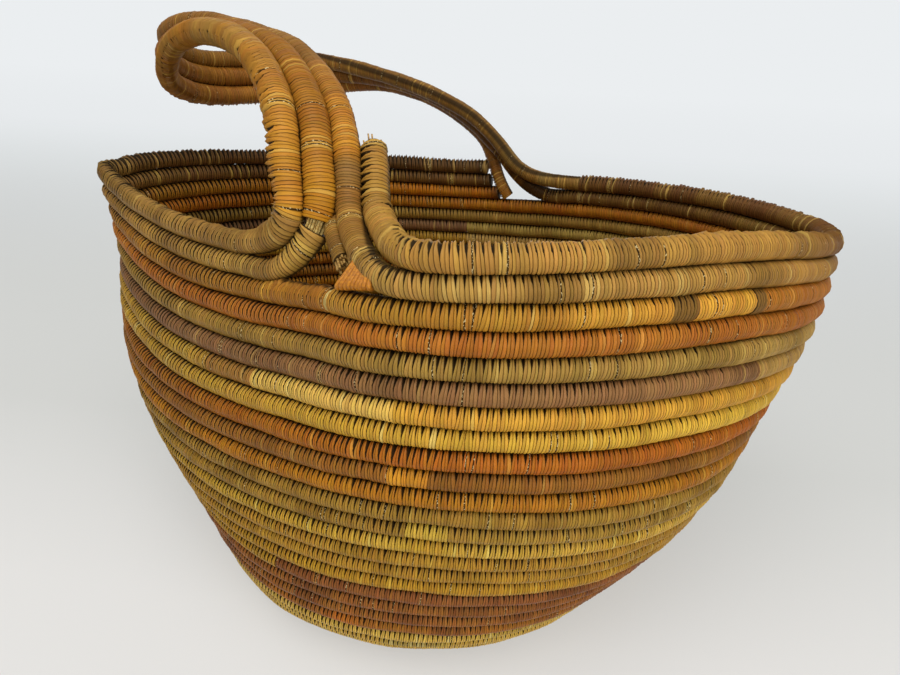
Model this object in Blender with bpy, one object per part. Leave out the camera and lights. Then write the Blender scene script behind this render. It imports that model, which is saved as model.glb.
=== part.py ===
"""Oval gathering basket of coiled work with a high arched handle of three coils.

One stitched coil runs in a flat spiral from a straight start in the middle of the base,
turns up at the base's edge and climbs as the wall. The last rounds leave the rim at two
feet and cross over the mouth side by side as the handle.
Metres, +Z up, front towards -Y. The basket rests on the flat underside of its base coil.
"""

import math

import bmesh
import bpy
import numpy as np
from mathutils import Vector

# Mouth: how far the rim reaches from the middle, each way
REACH_RIGHT = 0.1979
REACH_LEFT = 0.1936
REACH_FRONT = 0.1553
REACH_BACK = 0.1353

# How much higher or lower than its slant alone gives, the rim lies at each side
LIFT_RIGHT = -0.0136
LIFT_LEFT = -0.0069
LIFT_FRONT = 0.0020
LIFT_BACK = -0.0188

# The same for the four corners between the sides
CORNER_LIFT_FRONT_RIGHT = 0.0097
CORNER_LIFT_FRONT_LEFT = -0.0154
CORNER_LIFT_BACK_RIGHT = 0.0046
CORNER_LIFT_BACK_LEFT = -0.0002

# Rim pulled in beside the handle's front foot
PULL_IN = 0.0149
PULL_ANGLE = 244.8
PULL_WIDTH = 23.8

# The turn of the wall from its front left to its front right is eased over this many degrees
FRONT_EASE = 16.0
FRONT_EASE_WIDTH = 30.0

# Coil thickness, rim to base
COIL_RIM = 0.0105
COIL_UPPER = 0.0100
COIL_MIDDLE = 0.0090
COIL_LOWER = 0.0080
WALL_COURSES = 26

# Straight start of the base spiral, half its length
START_HALF_LENGTH = 0.0235
START_SHARE = 0.14

# Handle: thickness of its three coils, left to right seen from the front
STRAP_LEFT = 0.0122
STRAP_MIDDLE = 0.0128
STRAP_RIGHT = 0.0104
STUB_INNER = 0.0062
CORE = 0.0050

# The handle's coils are thinner where they come down at the back foot
BACK_FOOT_SHARE = 0.80

# Running angles at which the last rounds leave or reach the rim at the handle's two feet
LEFT_RIM_END = 83.8
LEFT_RIM_LEAVES = 232.0
LEFT_SECOND_END = 442.9
LEFT_SECOND_LEAVES = 598.0
LEFT_THIRD_END = 801.2
RIGHT_SECOND_LEAVES = 629.0
RIGHT_SECOND_JOINS = 787.0
RIGHT_RIM_LEAVES = 275.0
RIGHT_RIM_JOINS = 420.0

# The third course's bent-up end at the back foot

# The left coil of the handle leaves it before its end and comes down the wall at the back
TAIL_LEAVES = 0.93
TAIL_TOP_LEVEL = 0.30
TAIL_END_LEVEL = 2.24
TAIL_TOP_DEGREES = 80.5
TAIL_END_DEGREES = 77.0
TAIL_STEPS = 5
TAIL_THICKNESS = 0.0086
TAIL_OUT = 0.0060

# Share of the handle's length that the cut rim stub rises beside it
STUB_END = 0.045

# Fit between neighbouring turns, and between two lengths that meet end to end
TURN_GAP = 0.0005
END_GAP = 0.0003

# Facets
COLUMNS = 26
SIDES = 6
STRAP_STEPS = 34

# Wall profile, as shares of the rim's reach at shares of the slant height
profile_height_shares = (0.0, 0.12, 0.3, 0.55, 0.8, 1.0)
profile_right_shares = (0.618, 0.644, 0.761, 0.853, 0.966, 1.0)
profile_left_shares = (0.643, 0.669, 0.799, 0.968, 0.970, 1.0)
profile_front_shares = (0.734, 0.858, 0.923, 0.976, 0.986, 1.0)
profile_back_shares = (0.646, 0.839, 1.000, 1.026, 1.023, 1.0)

# How full the oval's corners are (two is an ellipse): base, middle of the wall, rim
full_front_left_shares = (2.20, 1.50, 1.05)
full_front_right_shares = (1.84, 2.54, 1.65)
full_back_left_shares = (2.08, 1.89, 1.84)
full_back_right_shares = (2.08, 1.95, 1.44)
FLAT_CORNER_SHARE = 0.12

# The handle's middle line in coil thicknesses (x, y, z), and its lean in half turns
handle_route_shares = (
    (-3.7, -10.1, 22.2, 0.09),
    (-4.4, -8.2, 25.1, 0.00),
    (-5.8, -5.9, 26.8, -0.03),
    (-10.3, -0.5, 28.1, -0.03),
    (-15.7, 4.3, 27.8, 0.18),
    (-18.3, 6.8, 26.8, 0.41),
    (-19.8, 9.9, 25.6, 0.54),
    (-19.5, 13.2, 24.6, 0.60),
    (-17.2, 15.8, 24.4, 0.54),
    (-13.6, 17.1, 24.6, 0.42),
    (-9.7, 17.0, 24.8, 0.21),
    (-2.4, 15.4, 23.5, 0.14),
    (0.7, 14.3, 21.8, 0.21),
    (3.3, 12.9, 19.4, 0.26),
)

# Inner stub at the front foot, in coil thicknesses
inner_stub_shares = (
    (-3.0, -9.4, 22.1),
    (-2.8, -10.1, 21.3),
    (-2.5, -10.7, 20.4),
)

# Binding colours
colours = {
    "dark_brown": (0.085, 0.040, 0.022),
    "tan_brown": (0.230, 0.120, 0.050),
    "yellow_orange": (0.620, 0.250, 0.035),
    "orange_red": (0.560, 0.120, 0.025),
    "khaki": (0.240, 0.170, 0.070),
    "purple_brown": (0.110, 0.050, 0.045),
    "mustard": (0.450, 0.240, 0.050),
    "bright_yellow": (0.680, 0.400, 0.050),
    "brown": (0.150, 0.060, 0.030),
    "orange": (0.580, 0.180, 0.030),
    "red_brown": (0.200, 0.050, 0.030),
    "natural": (0.560, 0.430, 0.240),
    "bare_core": (0.640, 0.520, 0.330),
}
strand_colours = {
    "second_course_left": "dark_brown",
    "front_core_tip": "bare_core",
    "strap_middle": "orange",
    "second_course_right": "tan_brown",
    "orange_lashing": "orange_red",
    "strap_right": "brown",
    "rim_right": "dark_brown",
    "rim_stub": "dark_brown",
}
ROUGHNESS = 0.75


def clear_scene():
    for thing in list(bpy.data.objects):
        bpy.data.objects.remove(thing, do_unlink=True)


def natural_spline(knots, values, at):
    """Smooth curve through the knots with no bend at its two ends."""
    knots = np.asarray(knots, float)
    values = np.asarray(values, float)
    count = len(knots)
    gaps = np.diff(knots)
    system = np.eye(count)
    side = np.zeros((count,) + values.shape[1:])
    for i in range(1, count - 1):
        system[i, i - 1] = gaps[i - 1]
        system[i, i] = 2.0 * (gaps[i - 1] + gaps[i])
        system[i, i + 1] = gaps[i]
        after = (values[i + 1] - values[i]) / gaps[i]
        before = (values[i] - values[i - 1]) / gaps[i - 1]
        side[i] = 6.0 * (after - before)
    bend = np.linalg.solve(system, side)
    at = np.atleast_1d(np.asarray(at, float))
    cell = np.clip(np.searchsorted(knots, at, side="right") - 1, 0, count - 2)
    shape = (-1,) + (1,) * (values.ndim - 1)
    gap = gaps[cell].reshape(shape)
    ahead = (knots[cell + 1] - at).reshape(shape)
    behind = (at - knots[cell]).reshape(shape)
    cubic = (bend[cell] * ahead ** 3 + bend[cell + 1] * behind ** 3) / (6.0 * gap)
    start = (values[cell] / gap - bend[cell] * gap / 6.0) * ahead
    end = (values[cell + 1] / gap - bend[cell + 1] * gap / 6.0) * behind
    return cubic + start + end


def unit(vectors):
    length = np.linalg.norm(vectors, axis=-1, keepdims=True)
    return vectors / length


def coil_thickness(level):
    return np.interp(level, (0, 6, 14, 20), (COIL_RIM, COIL_UPPER, COIL_MIDDLE, COIL_LOWER))


def slant_share(level):
    """Share of the slant height at a level counted in courses down from the rim."""
    middles = np.arange(WALL_COURSES) + 0.5
    steps = coil_thickness(middles)
    down = np.concatenate(([-COIL_RIM], [0.0], np.cumsum(steps)))
    lengths = np.interp(level, np.arange(-1, WALL_COURSES + 1), down)
    return 1.0 - lengths / np.sum(steps)


def slant_height():
    return float(np.sum(coil_thickness(np.arange(WALL_COURSES) + 0.5)))


def profile(share, reach, reach_shares, lift):
    """Reach and height of one side of the wall, rolled out along its slant."""
    fine = np.linspace(0.0, 1.05, 211)
    curve = natural_spline(profile_height_shares, reach_shares, fine) * reach
    slope = np.gradient(curve, fine) / slant_height()
    rise = np.sqrt(1.0 - np.clip(slope, -0.97, 0.97) ** 2) * slant_height()
    steps = (rise[1:] + rise[:-1]) * 0.5 * np.diff(fine)
    height = np.concatenate(([0.0], np.cumsum(steps)))
    raised = np.interp(share, fine, height) + lift * np.clip(share, 0.0, None) ** 1.5
    return np.interp(share, fine, curve), raised


def corner_power(share, fullness):
    base, middle, rim = fullness
    lower = base + (middle - base) * share * 2.0
    upper = middle + (rim - middle) * (share * 2.0 - 1.0)
    return 2.0 / np.where(share < 0.5, lower, upper)


def softened(value, power):
    """A signed power whose corner at zero is rounded off."""
    return value * (value ** 2 + FLAT_CORNER_SHARE ** 2) ** ((power - 1.0) * 0.5)


def choose(right, back, back_right, back_left, front_right, front_left):
    behind = np.where(right, back_right, back_left)
    before = np.where(right, front_right, front_left)
    return np.where(back, behind, before)


def sharp_wall_point(level, degrees):
    """Middle of the coil on the wall, with the oval's four quarters set edge to edge."""
    angle = np.radians(degrees)
    share = slant_share(level)
    cos, sin = np.cos(angle), np.sin(angle)
    right, back = cos > 0, sin > 0
    reach_r, high_r = profile(share, REACH_RIGHT, profile_right_shares, LIFT_RIGHT)
    reach_l, high_l = profile(share, REACH_LEFT, profile_left_shares, LIFT_LEFT)
    reach_f, high_f = profile(share, REACH_FRONT, profile_front_shares, LIFT_FRONT)
    reach_b, high_b = profile(share, REACH_BACK, profile_back_shares, LIFT_BACK)
    power = choose(
        right, back,
        corner_power(share, full_back_right_shares),
        corner_power(share, full_back_left_shares),
        corner_power(share, full_front_right_shares),
        corner_power(share, full_front_left_shares),
    )
    corner = choose(
        right, back,
        CORNER_LIFT_BACK_RIGHT, CORNER_LIFT_BACK_LEFT,
        CORNER_LIFT_FRONT_RIGHT, CORNER_LIFT_FRONT_LEFT,
    )
    x = softened(cos, power) * np.where(right, reach_r, reach_l)
    y = softened(sin, power) * np.where(back, reach_b, reach_f)
    z = cos ** 2 * np.where(right, high_r, high_l) + sin ** 2 * np.where(back, high_b, high_f)
    z = z + corner * np.sin(2.0 * angle) ** 2 * share
    pull = np.exp(-((np.mod(degrees, 360.0) - PULL_ANGLE) / PULL_WIDTH) ** 2)
    pull = pull * np.clip(share, 0.0, None) ** 2
    x = x - PULL_IN * pull * cos
    y = y - PULL_IN * pull * sin
    return np.stack([x, y, z], axis=-1)


def wall_point(level, degrees):
    """Middle of the coil on the wall, at a level and a direction round the oval."""
    from_front = (np.mod(degrees, 360.0) - 270.0) / FRONT_EASE_WIDTH
    spread = FRONT_EASE * np.exp(-from_front ** 2)
    total = 0.0
    for share, weight in ((-1.0, 1.0), (-0.5, 2.0), (0.0, 3.0), (0.5, 2.0), (1.0, 1.0)):
        total = total + sharp_wall_point(level, degrees + spread * share) * weight / 9.0
    return total


def base_middle():
    x = (REACH_RIGHT * profile_right_shares[0] - REACH_LEFT * profile_left_shares[0]) * 0.5
    y = (REACH_BACK * profile_back_shares[0] - REACH_FRONT * profile_front_shares[0]) * 0.5
    return np.array([x, y, 0.0])


def start_point(edge):
    """Nearest point of the straight start to a point on the base's edge."""
    nearest = np.array(base_middle() + edge * 0.0)
    away = edge[..., 0] - base_middle()[0]
    nearest[..., 0] += np.clip(away, -START_HALF_LENGTH, START_HALF_LENGTH)
    return nearest


def base_courses():
    """Rounds of the base, ending so that the straight start lies between its neighbours."""
    degrees = np.linspace(0.0, 360.0, 73)[:-1]
    edge = wall_point(np.full(72, float(WALL_COURSES)), degrees)
    spread = np.linalg.norm(edge - start_point(edge), axis=-1)
    return math.floor(float(np.mean(spread)) / COIL_LOWER) + 0.25


def last_level():
    """Level at which the coil's straight start begins."""
    return WALL_COURSES + base_courses() - START_SHARE


def basket_point(level, degrees):
    """Middle of the coil on the wall, or on the flat base below its edge."""
    on_wall = wall_point(np.minimum(level, WALL_COURSES), degrees)
    start = start_point(on_wall)
    rounds = base_courses()
    share = (WALL_COURSES + rounds - level) / rounds
    on_base = start + (on_wall - start) * share[..., None]
    return np.where((level > WALL_COURSES)[..., None], on_base, on_wall)


def column_angles():
    """Directions that share the middle of the wall out into equal lengths."""
    fine = np.linspace(0.0, 360.0, 721)
    ring = wall_point(np.full(fine.shape, WALL_COURSES * 0.45), fine)
    steps = np.linalg.norm(np.diff(ring, axis=0), axis=-1)
    along = np.concatenate(([0.0], np.cumsum(steps)))
    return np.interp(np.arange(COLUMNS) * along[-1] / COLUMNS, along, fine)


def level_at(turn):
    """Course level at a running angle, which grows as the coil goes down and round."""
    return (turn - 270.0) / 360.0 + 0.5


def turn_at(course, degrees):
    """Running angle of a direction on a course: from the front foot by the right end."""
    beyond = degrees if degrees >= 270.0 else degrees + 360.0
    if degrees < 90.0 or degrees >= 270.0:
        return beyond + 360.0 * (course - 1)
    return degrees + 360.0 * (course - 1)


def across_only(apart, along):
    """Length of a step between two turns, square to the coil."""
    return np.linalg.norm(apart - along * np.sum(apart * along, axis=-1, keepdims=True), axis=-1)


def spiral(turns):
    """Centres, side directions and half thickness of the coil at running angles."""
    turns = np.asarray(turns, float)
    levels = level_at(turns)
    last = WALL_COURSES + base_courses()
    centres = basket_point(levels, turns)
    step = 0.5
    ahead = basket_point(np.minimum(level_at(turns + step), last), turns + step)
    along = unit(ahead - basket_point(level_at(turns - step), turns - step))
    lower = basket_point(np.minimum(levels + 1.0, last), turns)
    upper = basket_point(levels - 1.0, turns)
    nearer = basket_point(np.minimum(levels + 0.35, last), turns)
    down = nearer - basket_point(levels - 0.35, turns)
    above = across_only(centres - upper, along)
    below = np.where(levels + 1.0 > last, above, across_only(centres - lower, along))
    room = np.where(levels < 1.2, below, np.minimum(above, below))
    return centres, unit(down), (room - TURN_GAP) * 0.5


def column_turns(first, final):
    """Running angles of the columns that lie between two running angles."""
    angles = column_angles()
    rounds = np.arange(math.floor(first / 360.0) - 1, math.ceil(final / 360.0) + 1)
    turns = (rounds[:, None] * 360.0 + angles[None, :]).ravel()
    return turns


def wound_run(first, final):
    """Rings of the coil between two running angles, cut on the columns' chords."""
    turns = column_turns(first, final)
    margin = 360.0 / COLUMNS * 0.12
    inside = turns[(turns > first + margin) & (turns < final - margin)]
    near = turns[(turns > first - 60.0) & (turns < final + 60.0)]
    near = near[level_at(near) <= WALL_COURSES + base_courses() - 0.05]
    centres, down, half = spiral(near)
    along = unit(np.gradient(centres, axis=0))
    rows = np.concatenate([centres, down, half[:, None], along], axis=1)
    wanted = np.concatenate(([first], inside, [final]))
    cut = np.stack([np.interp(wanted, near, rows[:, i]) for i in range(10)], axis=1)
    chords = unit(np.diff(centres, axis=0))
    for end in (0, -1):
        cell = np.clip(np.searchsorted(near, wanted[end]) - 1, 0, len(chords) - 1)
        cut[end, 7:] = chords[cell]
    return cut[:, :3], unit(cut[:, 3:6]), cut[:, 6], unit(cut[:, 7:])


def handle_frame(at):
    """Middle line of the handle and the direction from its left coil to its right one."""
    route = np.array(handle_route_shares)
    points = route[:, :3] * COIL_UPPER
    steps = np.linalg.norm(np.diff(points, axis=0), axis=-1)
    knots = np.concatenate(([0.0], np.cumsum(steps)))
    knots = knots / knots[-1]
    at = np.atleast_1d(np.asarray(at, float))
    small = 0.002
    centre = natural_spline(knots, points, at)
    ahead = natural_spline(knots, points, np.minimum(at + small, 1.0))
    behind = natural_spline(knots, points, np.maximum(at - small, 0.0))
    along = unit(ahead - behind)
    lean = natural_spline(knots, route[:, 3], at) * math.pi
    level = unit(np.cross(along, np.array([0.0, 0.0, 1.0])))
    raised = np.cross(level, along)
    across = np.cos(lean)[:, None] * level + np.sin(lean)[:, None] * raised
    return centre, unit(across)


def strap_taper(at):
    """Share of its full thickness that the handle has along its length."""
    behind = np.clip(at * 2.0 - 1.0, 0.0, 1.0)
    return 1.0 - (1.0 - BACK_FOOT_SHARE) * behind * behind * (3.0 - 2.0 * behind)


def strap_offset(which):
    """Distance of a coil of the handle from the handle's middle line, at full thickness."""
    left = -(STRAP_LEFT + STRAP_MIDDLE + TURN_GAP * 2.0) * 0.5
    right = (STRAP_RIGHT + STRAP_MIDDLE + TURN_GAP * 2.0) * 0.5
    stub = right + STRAP_RIGHT * 0.5 + COIL_RIM * 0.5 + TURN_GAP
    return {"left": left, "middle": 0.0, "right": right, "stub": stub}[which]


def strap_run(which, first, final, steps, thickness):
    at = np.linspace(first, final, steps)
    centre, across = handle_frame(at)
    taper = strap_taper(at)
    points = centre + across * strap_offset(which) * taper[:, None]
    along = unit(np.gradient(points, axis=0))
    return points, across, (thickness * taper - TURN_GAP * (1.0 - taper)) * 0.5, along


def reversed_run(run):
    return run[0][::-1], -run[1][::-1], run[2][::-1], -run[3][::-1]


def part_of(run, first, final):
    """The rings of a run from one of its rings up to another, both included."""
    return tuple(rows[first:final + 1] for rows in run)


def with_half(run, half):
    return run[0], run[1], np.full(len(run[0]), half), run[3]


def chained(*runs):
    """Runs set one after another as a single run, whose two ends keep their planes."""
    points, across, half, kept = (np.concatenate(rows) for rows in zip(*runs))
    along = unit(np.gradient(points, axis=0))
    along[0] = kept[0]
    along[-1] = kept[-1]
    return points, across, half, along


def bridge(before, after, steps):
    """Rings that lead smoothly from the end of one run to the start of the next."""
    points = np.concatenate([before[0][-3:], after[0][:3]])
    across = np.concatenate([before[1][-3:], after[1][:3]])
    half = np.concatenate([before[2][-3:], after[2][:3]])
    gaps = np.linalg.norm(np.diff(points, axis=0), axis=-1)
    knots = np.concatenate(([0.0], np.cumsum(gaps)))
    at = np.linspace(knots[2], knots[3], steps + 2)[1:-1]
    smooth = natural_spline(knots, points, at)
    turned = unit(natural_spline(knots, across, at))
    along = unit(np.gradient(smooth, axis=0))
    return smooth, turned, np.interp(at, knots, half), along


def trimmed(run, start, end):
    """The run with a little taken off each end, so that meeting ends keep their gap."""
    points = run[0].copy()
    points[0] = points[0] + run[3][0] * start
    points[-1] = points[-1] - run[3][-1] * end
    return points, run[1], run[2], run[3]


def ring_of(centre, along, across, half, flat_floor):
    """Hexagon round the coil, with a flat inside, a flat outside and an edge to each side."""
    outward = np.cross(across, along)
    ring = []
    for i in range(SIDES):
        angle = 2.0 * math.pi * i / SIDES
        spot = centre + (across * math.cos(angle) + outward * math.sin(angle)) * half
        ring.append(spot)
    if flat_floor is not None:
        ring = [np.array([p[0], p[1], max(p[2], flat_floor)]) for p in ring]
    return ring


def tube_mesh(name, run, flat_floor=None):
    """Closed tube through the rings of a run, with flat ends."""
    centres, across, half, along = run
    side = unit(across - along * np.sum(across * along, axis=-1, keepdims=True))
    mesh = bmesh.new()
    rings = []
    for i in range(len(centres)):
        spots = ring_of(centres[i], along[i], side[i], half[i], flat_floor)
        rings.append([mesh.verts.new(Vector(spot)) for spot in spots])
    for low, high in zip(rings[:-1], rings[1:]):
        for i in range(SIDES):
            j = (i + 1) % SIDES
            mesh.faces.new((low[i], low[j], high[j], high[i]))
    mesh.faces.new(rings[0][::-1])
    mesh.faces.new(rings[-1])
    bmesh.ops.triangulate(mesh, faces=mesh.faces[:])
    bmesh.ops.recalc_face_normals(mesh, faces=mesh.faces[:])
    data = bpy.data.meshes.new(name)
    mesh.to_mesh(data)
    mesh.free()
    return data


def make_material(name):
    material = bpy.data.materials.get(name) or bpy.data.materials.new(name)
    material.use_nodes = True
    shader = material.node_tree.nodes["Principled BSDF"]
    shader.inputs["Base Color"].default_value = colours[name] + (1.0,)
    shader.inputs["Roughness"].default_value = ROUGHNESS
    shader.inputs["Metallic"].default_value = 0.0
    return material


def add_tube(name, run, colour, flat_floor=None):
    data = tube_mesh(name, run, flat_floor)
    data.materials.append(make_material(colour))
    data.shade_smooth()
    data.set_sharp_from_angle(angle=math.radians(50.0))
    thing = bpy.data.objects.new(name, data)
    bpy.context.collection.objects.link(thing)
    return thing


def add_wound(name, first, final, colour):
    run = trimmed(wound_run(first, final), END_GAP * 0.5, END_GAP * 0.5)
    return add_tube(name, run, colour)


def wall_bands():
    """Every length of coil from the third course down to the base, in its own binding."""
    plan = (
        ("third_course_yellow_orange", turn_at(3, 302.7), "yellow_orange"),
        ("wide_lashing", turn_at(3, 305.9), "brown"),
        ("third_course_yellow_right", turn_at(3, 315.0), "yellow_orange"),
        ("narrow_lashing", turn_at(3, 316.8), "brown"),
        ("fourth_course_orange_red", turn_at(4, 348.0), "orange_red"),
        ("fifth_course_khaki", turn_at(6, 90.0), "khaki"),
        ("sixth_course_purple_brown", turn_at(6, 319.0), "purple_brown"),
        ("sixth_course_khaki_brown", turn_at(7, 90.0), "tan_brown"),
        ("seventh_course_mustard", turn_at(7, 230.0), "mustard"),
        ("seventh_course_tan", turn_at(7, 239.5), "tan_brown"),
        ("seventh_course_bright_yellow", turn_at(7, 268.0), "bright_yellow"),
        ("seventh_course_yellow_orange", turn_at(8, 90.0), "yellow_orange"),
        ("eighth_course_yellow", turn_at(9, 90.0), "bright_yellow"),
        ("ninth_course_red_orange", turn_at(10, 90.0), "orange_red"),
        ("tenth_course_brown_left", turn_at(10, 267.7), "brown"),
        ("tenth_course_orange_length", turn_at(10, 273.5), "orange"),
        ("tenth_course_brown_right", turn_at(11, 90.0), "brown"),
        ("eleventh_course_orange", turn_at(12, 90.0), "orange"),
        ("khaki_band_upper", turn_at(13, 270.6), "khaki"),
        ("khaki_band_yellow_length", turn_at(13, 276.5), "bright_yellow"),
        ("khaki_band_lower", turn_at(14, 90.0), "khaki"),
        ("fourteenth_course_yellow", turn_at(15, 90.0), "bright_yellow"),
        ("brownish_yellow_band", turn_at(17, 90.0), "mustard"),
        ("mustard_band", turn_at(18, 246.0), "yellow_orange"),
        ("red_brown_band", turn_at(22, 90.0), "red_brown"),
    )
    return plan


def base_floor():
    """Height of the flat underside, where every round of the base is cut level."""
    return -COIL_LOWER * 0.5 * math.cos(math.pi / 6.0) * 0.9


def build_wall():
    first = turn_at(3, 100.0)
    for name, final, colour in wall_bands():
        if name != "third_course_yellow_orange":
            add_wound(name, first, final, colour)
        first = final
    return first


def build_base(first):
    """The pale natural lowest courses and the whole base, as one unbroken coil."""
    final = (last_level() - 0.5) * 360.0 + 270.0
    run = trimmed(wound_run(first, final), END_GAP * 0.5, 0.0)
    return add_tube("natural_base_coil", run, "natural", base_floor())


def self_gap(run):
    """Least gap between the turns of one tube, measured at its rings."""
    centres, _, half, _ = run
    count = len(centres)
    least = 1.0
    for i in range(count - COLUMNS // 2):
        far = np.arange(i + COLUMNS // 2, count)
        apart = np.linalg.norm(centres[far] - centres[i], axis=-1) - half[far] - half[i]
        least = min(least, float(apart.min()))
    return least


def add_length(name, run, colour):
    gap = END_GAP * 0.5
    return add_tube(name, trimmed(run, gap, gap), colour)


def build_third_course():
    """The third course's own length, which starts beside the coil that comes down there."""
    body = wound_run(LEFT_THIRD_END, wall_bands()[0][1])
    add_length("third_course_yellow_orange", body, "yellow_orange")


def back_tail():
    """The last stretch of the left coil, down the wall's edge onto the fourth course."""
    level = np.linspace(TAIL_TOP_LEVEL, TAIL_END_LEVEL, TAIL_STEPS)
    degrees = np.linspace(TAIL_TOP_DEGREES, TAIL_END_DEGREES, TAIL_STEPS)
    points = wall_point(level, degrees)
    across = unit(wall_point(level, degrees - 1.0) - wall_point(level, degrees + 1.0))
    still_out = np.linspace(1.0, 0.0, TAIL_STEPS)[:, None] ** 2
    points = points + np.cross(np.array([0.0, 0.0, 1.0]), across) * TAIL_OUT * still_out
    along = unit(np.gradient(points, axis=0))
    return points, across, np.full(TAIL_STEPS, TAIL_THICKNESS * 0.5), along


def build_left_strap():
    """The rim by the left end to the front foot, up over the handle and down to its end."""
    rim = wound_run(LEFT_RIM_END, LEFT_RIM_LEAVES)
    strap = strap_run("left", 0.0, TAIL_LEAVES, STRAP_STEPS - 2, STRAP_LEFT)
    tail = back_tail()
    whole = chained(rim, bridge(rim, strap, 4), strap, bridge(strap, tail, 3), tail)
    splice = len(rim[0]) + 4
    add_length("rim_left", part_of(whole, 0, splice), "dark_brown")
    add_length("strap_left", part_of(whole, splice, len(whole[0])), "orange")


def build_other_strands():
    """The coil that makes the second course, the handle's other two coils and the rim."""
    second = wound_run(LEFT_SECOND_END, LEFT_SECOND_LEAVES)
    middle = strap_run("middle", 0.0, 1.0, STRAP_STEPS, STRAP_MIDDLE)
    side = reversed_run(wound_run(RIGHT_SECOND_LEAVES, RIGHT_SECOND_JOINS))
    right = strap_run("right", 0.0, 1.0, STRAP_STEPS, STRAP_RIGHT)
    rim = reversed_run(wound_run(RIGHT_RIM_LEAVES, RIGHT_RIM_JOINS))
    stub = strap_run("stub", 0.0, STUB_END, 4, COIL_RIM)
    runs = (second, bridge(second, middle, 5), middle, bridge(middle, side, 3), side,
            bridge(side, right, 5), right, bridge(right, rim, 3), rim,
            bridge(rim, stub, 3), stub)
    whole = chained(*runs)
    starts = np.concatenate(([0], np.cumsum([len(run[0]) for run in runs])))
    cuts = (0, starts[1] + 2, starts[2], starts[4], starts[5] - 1, starts[5] + 2,
            starts[8], starts[10], starts[11] - 1)
    plan = ("second_course_left", "front_core_tip", "strap_middle", "second_course_right",
            "orange_lashing", "strap_right", "rim_right", "rim_stub")
    for name, first, final in zip(plan, cuts[:-1], cuts[1:]):
        run = part_of(whole, first, final)
        if name == "front_core_tip":
            run = with_half(run, CORE * 0.5)
        add_length(name, run, strand_colours[name])


def build_inner_stub():
    """Short end of coil sewn in behind the handle's right coil at the front foot."""
    centres = np.array(inner_stub_shares) * COIL_UPPER
    along = unit(np.gradient(centres, axis=0))
    sides = np.cross(along, np.array([0.0, 1.0, 0.0]))
    run = centres, unit(sides), np.full(len(centres), STUB_INNER * 0.5), along
    add_length("inner_stub", run, "dark_brown")


def stand_on_floor():
    """Move the whole basket so that its box stands centred on the origin."""
    bpy.context.view_layer.update()
    things = [thing for thing in bpy.data.objects if thing.type == "MESH"]
    corners = np.array([vertex.co for thing in things for vertex in thing.data.vertices])
    low, high = corners.min(axis=0), corners.max(axis=0)
    shift = Vector((-(low[0] + high[0]) * 0.5, -(low[1] + high[1]) * 0.5, -low[2]))
    basket = bpy.data.objects.new("gathering_basket", None)
    bpy.context.collection.objects.link(basket)
    basket.location = shift
    for thing in things:
        thing.parent = basket
    print("shift", [round(value, 5) for value in shift])
    print("size", [round(float(value), 4) for value in high - low])


def report_turns(first):
    final = (last_level() - 0.5) * 360.0 + 270.0
    print("base coil, least gap to itself", round(self_gap(wound_run(first, final)) * 1000.0, 2), "mm")
    start = turn_at(3, 100.0)
    for name, last, _ in wall_bands():
        gap = self_gap(wound_run(start, last))
        if gap < 1.0:
            print(name, "least gap to itself", round(gap * 1000.0, 2), "mm")
        start = last


def main():
    clear_scene()
    build_third_course()
    lowest = build_wall()
    build_base(lowest)
    build_left_strap()
    build_other_strands()
    build_inner_stub()
    stand_on_floor()
    report_turns(lowest)


main()
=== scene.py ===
"""Gathering basket of stitched coils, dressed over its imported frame, with floor and camera."""

import math
from functools import partial

import bpy
import numpy as np
from mathutils import Matrix, Vector


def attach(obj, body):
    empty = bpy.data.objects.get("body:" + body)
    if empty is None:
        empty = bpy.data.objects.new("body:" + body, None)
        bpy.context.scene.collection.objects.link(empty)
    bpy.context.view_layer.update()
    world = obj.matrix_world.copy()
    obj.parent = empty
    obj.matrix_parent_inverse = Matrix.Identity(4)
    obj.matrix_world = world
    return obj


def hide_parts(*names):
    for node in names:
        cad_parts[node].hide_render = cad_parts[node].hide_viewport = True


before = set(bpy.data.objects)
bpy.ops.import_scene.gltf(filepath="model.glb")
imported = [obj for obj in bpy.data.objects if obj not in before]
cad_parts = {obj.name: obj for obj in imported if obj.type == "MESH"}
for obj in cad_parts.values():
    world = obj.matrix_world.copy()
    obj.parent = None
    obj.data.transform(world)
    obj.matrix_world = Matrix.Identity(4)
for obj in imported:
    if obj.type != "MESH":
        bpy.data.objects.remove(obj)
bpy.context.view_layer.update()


# The path of the long coil: a bundle of grass stems that starts as a short straight length in the
# middle of the base, runs round it in a flat oval spiral and climbs as the wall. Its sizes, in
# metres and degrees, are the frame's, and stand is where the frame sets the basket down.
reach_right, reach_left, reach_front, reach_back = 0.1979, 0.1936, 0.1553, 0.1353
lift_right, lift_left, lift_front, lift_back = -0.0136, -0.0069, 0.0020, -0.0188
corner_front_right, corner_front_left = 0.0097, -0.0154
corner_back_right, corner_back_left = 0.0046, -0.0002
pull_in, pull_angle, pull_width = 0.0149, 244.8, 23.8
front_ease, front_ease_width = 16.0, 30.0
coil_rim, coil_upper, coil_middle, coil_lower = 0.0105, 0.0100, 0.0090, 0.0080
wall_courses = 26
start_half_length, start_share = 0.0235, 0.14
turn_gap = 0.0005
height_shares = (0.0, 0.12, 0.3, 0.55, 0.8, 1.0)
right_shares = (0.618, 0.644, 0.761, 0.853, 0.966, 1.0)
left_shares = (0.643, 0.669, 0.799, 0.968, 0.970, 1.0)
front_shares = (0.734, 0.858, 0.923, 0.976, 0.986, 1.0)
back_shares = (0.646, 0.839, 1.000, 1.026, 1.023, 1.0)
full_front_left, full_front_right = (2.20, 1.50, 1.05), (1.84, 2.54, 1.65)
full_back_left, full_back_right = (2.08, 1.89, 1.84), (2.08, 1.95, 1.44)
flat_corner = 0.12
stand = np.array([0.002644, -0.015656, 0.003118])


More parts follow.
